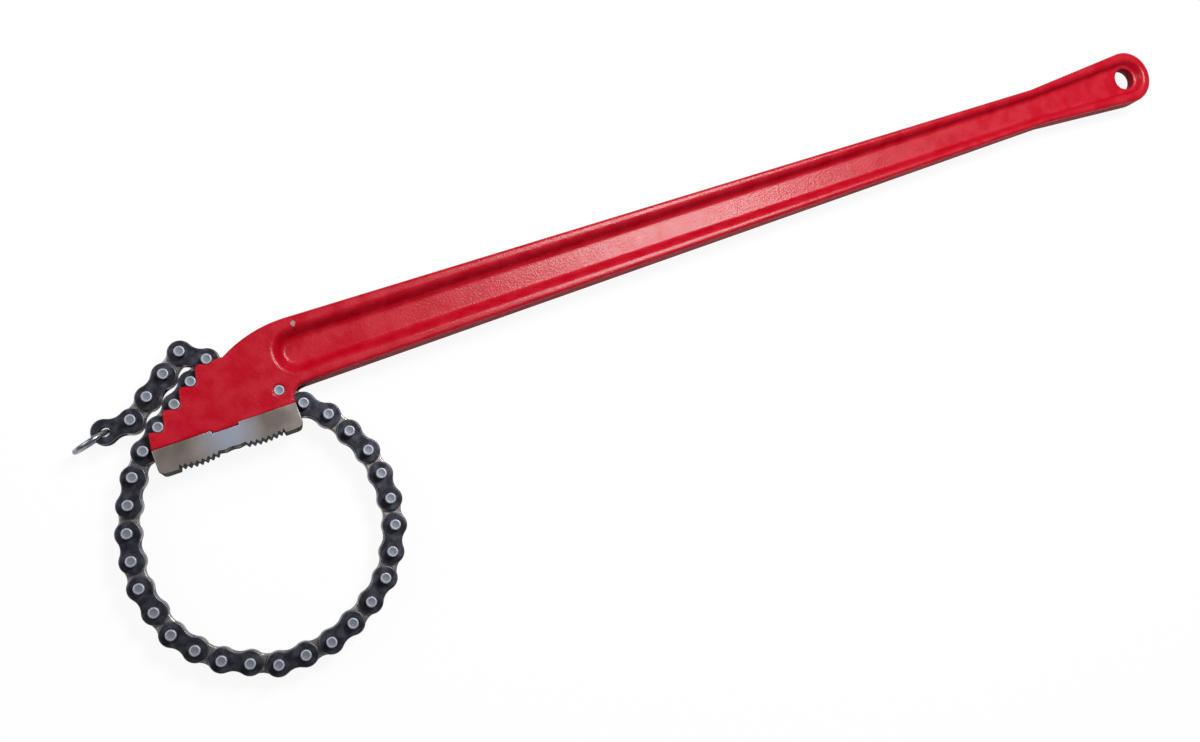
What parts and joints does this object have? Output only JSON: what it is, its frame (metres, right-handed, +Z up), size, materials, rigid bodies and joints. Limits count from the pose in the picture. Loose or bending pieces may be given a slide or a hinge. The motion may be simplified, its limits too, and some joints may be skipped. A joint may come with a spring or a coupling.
{
  "type": "chain pipe wrench",
  "caption": "Chain pipe wrench: forged I-section handle, notched head, toothed steel jaw and a hinged flat-link chain that wraps a pipe and hooks into the notches.",
  "frame": {"origin": "on the axis of the hang hole at the end of the handle, half way through the thickness", "axes": "+X along the handle from the head to the hang hole, +Y across the handle away from the jaw, +Z up through the thickness"},
  "size_m": [1.2524, 0.3286, 0.038],
  "materials": {
    "handle_paint": "glossy red paint over forged steel",
    "jaw_steel": "ground tool steel with a grey-blue tint",
    "screw_steel": "black oxide",
    "pin_steel": "bright turned steel",
    "inner_plate_steel": "bare grey steel, oiled",
    "outer_plate_steel": "black oxide, oiled",
    "ring_steel": "bare wire"
  },
  "bodies": {
    "wrench_handle": {"handle": "handle_paint", "jaw": "jaw_steel", "jaw_screw": "screw_steel", "hinge_pin": "pin_steel"},
    "inner_link_01": {"inner_plates_01": "inner_plate_steel"},
    "outer_link_01": {"outer_plates_01": "outer_plate_steel", "link_pins_01": "pin_steel"},
    "inner_link_02": {"inner_plates_02": "inner_plate_steel"},
    "outer_link_02": {"outer_plates_02": "outer_plate_steel", "link_pins_02": "pin_steel"},
    "inner_link_03": {"inner_plates_03": "inner_plate_steel"},
    "outer_link_03": {"outer_plates_03": "outer_plate_steel", "link_pins_03": "pin_steel"},
    "inner_link_04": {"inner_plates_04": "inner_plate_steel"},
    "outer_link_04": {"outer_plates_04": "outer_plate_steel", "link_pins_04": "pin_steel"},
    "inner_link_05": {"inner_plates_05": "inner_plate_steel"},
    "outer_link_05": {"outer_plates_05": "outer_plate_steel", "link_pins_05": "pin_steel"},
    "inner_link_06": {"inner_plates_06": "inner_plate_steel"},
    "outer_link_06": {"outer_plates_06": "outer_plate_steel", "link_pins_06": "pin_steel"},
    "inner_link_07": {"inner_plates_07": "inner_plate_steel"},
    "outer_link_07": {"outer_plates_07": "outer_plate_steel", "link_pins_07": "pin_steel"},
    "inner_link_08": {"inner_plates_08": "inner_plate_steel"},
    "outer_link_08": {"outer_plates_08": "outer_plate_steel", "link_pins_08": "pin_steel"},
    "inner_link_09": {"inner_plates_09": "inner_plate_steel"},
    "outer_link_09": {"outer_plates_09": "outer_plate_steel", "link_pins_09": "pin_steel"},
    "inner_link_10": {"inner_plates_10": "inner_plate_steel"},
    "outer_link_10": {"outer_plates_10": "outer_plate_steel", "link_pins_10": "pin_steel"},
    "inner_link_11": {"inner_plates_11": "inner_plate_steel"},
    "outer_link_11": {"outer_plates_11": "outer_plate_steel", "link_pins_11": "pin_steel"},
    "inner_link_12": {"inner_plates_12": "inner_plate_steel"},
    "outer_link_12": {"outer_plates_12": "outer_plate_steel", "link_pins_12": "pin_steel"},
    "inner_link_13": {"inner_plates_13": "inner_plate_steel"},
    "outer_link_13": {"outer_plates_13": "outer_plate_steel", "link_pins_13": "pin_steel"},
    "inner_link_14": {"inner_plates_14": "inner_plate_steel"},
    "outer_link_14": {"outer_plates_14": "outer_plate_steel", "link_pins_14": "pin_steel"},
    "inner_link_15": {"inner_plates_15": "inner_plate_steel"},
    "outer_link_15": {"outer_plates_15": "outer_plate_steel", "link_pins_15": "pin_steel"},
    "inner_link_16": {"inner_plates_16": "inner_plate_steel"},
    "outer_link_16": {"outer_plates_16": "outer_plate_steel", "link_pins_16": "pin_steel"},
    "inner_link_17": {"inner_plates_17": "inner_plate_steel"},
    "outer_link_17": {"outer_plates_17": "outer_plate_steel", "link_pins_17": "pin_steel"},
    "ring": {"pull_ring": "ring_steel"}
  },
  "joints": [
    {"name": "chain_hinge", "type": "hinge", "parent": "wrench_handle", "child": "inner_link_01", "pos_m": [-1.031, -0.032, 0], "axis": [0, 0, 1], "range_deg": [-1.67, 1.67]},
    {"name": "pivot_01", "type": "hinge", "parent": "inner_link_01", "child": "outer_link_01", "pos_m": [-1.01376, -0.05065, 0], "axis": [0, 0, 1], "range_deg": [-3, 3]},
    {"name": "pivot_02", "type": "hinge", "parent": "outer_link_01", "child": "inner_link_02", "pos_m": [-0.99553, -0.06834, 0], "axis": [0, 0, 1], "range_deg": [-0.97, 0.97]},
    {"name": "pivot_03", "type": "hinge", "parent": "inner_link_02", "child": "outer_link_02", "pos_m": [-0.98246, -0.09012, 0], "axis": [0, 0, 1], "range_deg": [-0.354, 0.354]},
    {"name": "pivot_04", "type": "hinge", "parent": "outer_link_02", "child": "inner_link_03", "pos_m": [-0.9721, -0.11331, 0], "axis": [0, 0, 1], "range_deg": [-1.74, 1.74]},
    {"name": "pivot_05", "type": "hinge", "parent": "inner_link_03", "child": "outer_link_03", "pos_m": [-0.96804, -0.13838, 0], "axis": [0, 0, 1], "range_deg": [-5, 5]},
    {"name": "pivot_06", "type": "hinge", "parent": "outer_link_03", "child": "inner_link_04", "pos_m": [-0.9679, -0.16378, 0], "axis": [0, 0, 1], "range_deg": [-4.83, 4.83]},
    {"name": "pivot_07", "type": "hinge", "parent": "inner_link_04", "child": "outer_link_04", "pos_m": [-0.97213, -0.18883, 0], "axis": [0, 0, 1], "range_deg": [-1.57, 1.57]},
    {"name": "pivot_08", "type": "hinge", "parent": "outer_link_04", "child": "inner_link_05", "pos_m": [-0.98306, -0.21176, 0], "axis": [0, 0, 1], "range_deg": [-1.16, 1.16]},
    {"name": "pivot_09", "type": "hinge", "parent": "inner_link_05", "child": "outer_link_05", "pos_m": [-0.99739, -0.23273, 0], "axis": [0, 0, 1], "range_deg": [-4.2, 4.2]},
    {"name": "pivot_10", "type": "hinge", "parent": "outer_link_05", "child": "inner_link_06", "pos_m": [-1.0172, -0.24863, 0], "axis": [0, 0, 1], "range_deg": [-5, 5]},
    {"name": "pivot_11", "type": "hinge", "parent": "inner_link_06", "child": "outer_link_06", "pos_m": [-1.03944, -0.26089, 0], "axis": [0, 0, 1], "range_deg": [-1.96, 1.96]},
    {"name": "pivot_12", "type": "hinge", "parent": "outer_link_06", "child": "inner_link_07", "pos_m": [-1.06316, -0.26998, 0], "axis": [0, 0, 1], "range_deg": [-2.2, 2.2]},
    {"name": "pivot_13", "type": "hinge", "parent": "inner_link_07", "child": "outer_link_07", "pos_m": [-1.08846, -0.27223, 0], "axis": [0, 0, 1], "range_deg": [-5, 5]},
    {"name": "pivot_14", "type": "hinge", "parent": "outer_link_07", "child": "inner_link_08", "pos_m": [-1.11385, -0.27143, 0], "axis": [0, 0, 1], "range_deg": [-3.48, 3.48]},
    {"name": "pivot_15", "type": "hinge", "parent": "inner_link_08", "child": "outer_link_08", "pos_m": [-1.13693, -0.26082, 0], "axis": [0, 0, 1], "range_deg": [-0.68, 0.68]},
    {"name": "pivot_16", "type": "hinge", "parent": "outer_link_08", "child": "inner_link_09", "pos_m": [-1.15944, -0.24906, 0], "axis": [0, 0, 1], "range_deg": [-1.97, 1.97]},
    {"name": "pivot_17", "type": "hinge", "parent": "inner_link_09", "child": "outer_link_09", "pos_m": [-1.17787, -0.23158, 0], "axis": [0, 0, 1], "range_deg": [-5, 5]},
    {"name": "pivot_18", "type": "hinge", "parent": "outer_link_09", "child": "inner_link_10", "pos_m": [-1.19267, -0.21094, 0], "axis": [0, 0, 1], "range_deg": [-4.18, 4.18]},
    {"name": "pivot_19", "type": "hinge", "parent": "inner_link_10", "child": "outer_link_10", "pos_m": [-1.2, -0.18662, 0], "axis": [0, 0, 1], "range_deg": [-1.15, 1.15]},
    {"name": "pivot_20", "type": "hinge", "parent": "outer_link_10", "child": "inner_link_11", "pos_m": [-1.20522, -0.16176, 0], "axis": [0, 0, 1], "range_deg": [0, 20]},
    {"name": "pivot_21", "type": "hinge", "parent": "inner_link_11", "child": "outer_link_11", "pos_m": [-1.20388, -0.13639, 0], "axis": [0, 0, 1], "range_deg": [0, 20]},
    {"name": "pivot_22", "type": "hinge", "parent": "outer_link_11", "child": "inner_link_12", "pos_m": [-1.1995, -0.11138, 0], "axis": [0, 0, 1], "range_deg": [0, 20]},
    {"name": "pivot_23", "type": "hinge", "parent": "inner_link_12", "child": "outer_link_12", "pos_m": [-1.1909, -0.08748, 0], "axis": [0, 0, 1], "range_deg": [0, 20]},
    {"name": "pivot_24", "type": "hinge", "parent": "outer_link_12", "child": "inner_link_13", "pos_m": [-1.17949, -0.06478, 0], "axis": [0, 0, 1], "range_deg": [0, 20]},
    {"name": "pivot_25", "type": "hinge", "parent": "inner_link_13", "child": "outer_link_13", "pos_m": [-1.16331, -0.04521, 0], "axis": [0, 0, 1], "range_deg": [0, 20]},
    {"name": "pivot_26", "type": "hinge", "parent": "outer_link_13", "child": "inner_link_14", "pos_m": [-1.144, -0.0287, 0], "axis": [0, 0, 1], "range_deg": [0, 5]},
    {"name": "pivot_27", "type": "hinge", "parent": "inner_link_14", "child": "outer_link_14", "pos_m": [-1.12385, -0.01324, 0], "axis": [0, 0, 1], "range_deg": [0, 15]},
    {"name": "pivot_28", "type": "hinge", "parent": "outer_link_14", "child": "inner_link_15", "pos_m": [-1.1037, 0.00222, 0], "axis": [0, 0, 1], "range_deg": [0, 15]},
    {"name": "pivot_29", "type": "hinge", "parent": "inner_link_15", "child": "outer_link_15", "pos_m": [-1.08355, 0.01769, 0], "axis": [0, 0, 1], "range_deg": [-105, 0]},
    {"name": "pivot_30", "type": "hinge", "parent": "outer_link_15", "child": "inner_link_16", "pos_m": [-1.10423, 0.03244, 0], "axis": [0, 0, 1], "range_deg": [-45, 0]},
    {"name": "pivot_31", "type": "hinge", "parent": "inner_link_16", "child": "outer_link_16", "pos_m": [-1.12438, 0.01698, 0], "axis": [0, 0, 1], "range_deg": [-20, 0]},
    {"name": "pivot_32", "type": "hinge", "parent": "outer_link_16", "child": "inner_link_17", "pos_m": [-1.14453, 0.00151, 0], "axis": [0, 0, 1], "range_deg": [-20, 0]},
    {"name": "pivot_33", "type": "hinge", "parent": "inner_link_17", "child": "outer_link_17", "pos_m": [-1.16468, -0.01395, 0], "axis": [0, 0, 1], "range_deg": [-40, 5]},
    {"name": "ring_swing", "type": "hinge", "parent": "outer_link_17", "child": "ring", "pos_m": [-1.19003, -0.0155, 0], "axis": [0, 0, 1], "range_deg": [-50, 30]}
  ],
  "couplings": [
    {"joint": "chain_hinge", "follows": "pivot_01", "ratio": -0.5574},
    {"joint": "pivot_02", "follows": "pivot_01", "ratio": -0.3248},
    {"joint": "pivot_03", "follows": "pivot_01", "ratio": -0.1179},
    {"joint": "pivot_04", "follows": "pivot_05", "ratio": -0.3479},
    {"joint": "pivot_06", "follows": "pivot_05", "ratio": -0.9652},
    {"joint": "pivot_07", "follows": "pivot_05", "ratio": 0.3131},
    {"joint": "pivot_08", "follows": "pivot_10", "ratio": 0.2317},
    {"joint": "pivot_09", "follows": "pivot_10", "ratio": -0.8395},
    {"joint": "pivot_11", "follows": "pivot_10", "ratio": -0.3921},
    {"joint": "pivot_12", "follows": "pivot_13", "ratio": -0.4392},
    {"joint": "pivot_14", "follows": "pivot_13", "ratio": -0.6962},
    {"joint": "pivot_15", "follows": "pivot_13", "ratio": 0.1355},
    {"joint": "pivot_16", "follows": "pivot_17", "ratio": -0.3946},
    {"joint": "pivot_18", "follows": "pivot_17", "ratio": -0.8358},
    {"joint": "pivot_19", "follows": "pivot_17", "ratio": 0.2304},
    {"joint": "pivot_27", "follows": "pivot_29", "ratio": -0.14},
    {"joint": "pivot_28", "follows": "pivot_29", "ratio": -0.14}
  ]
}
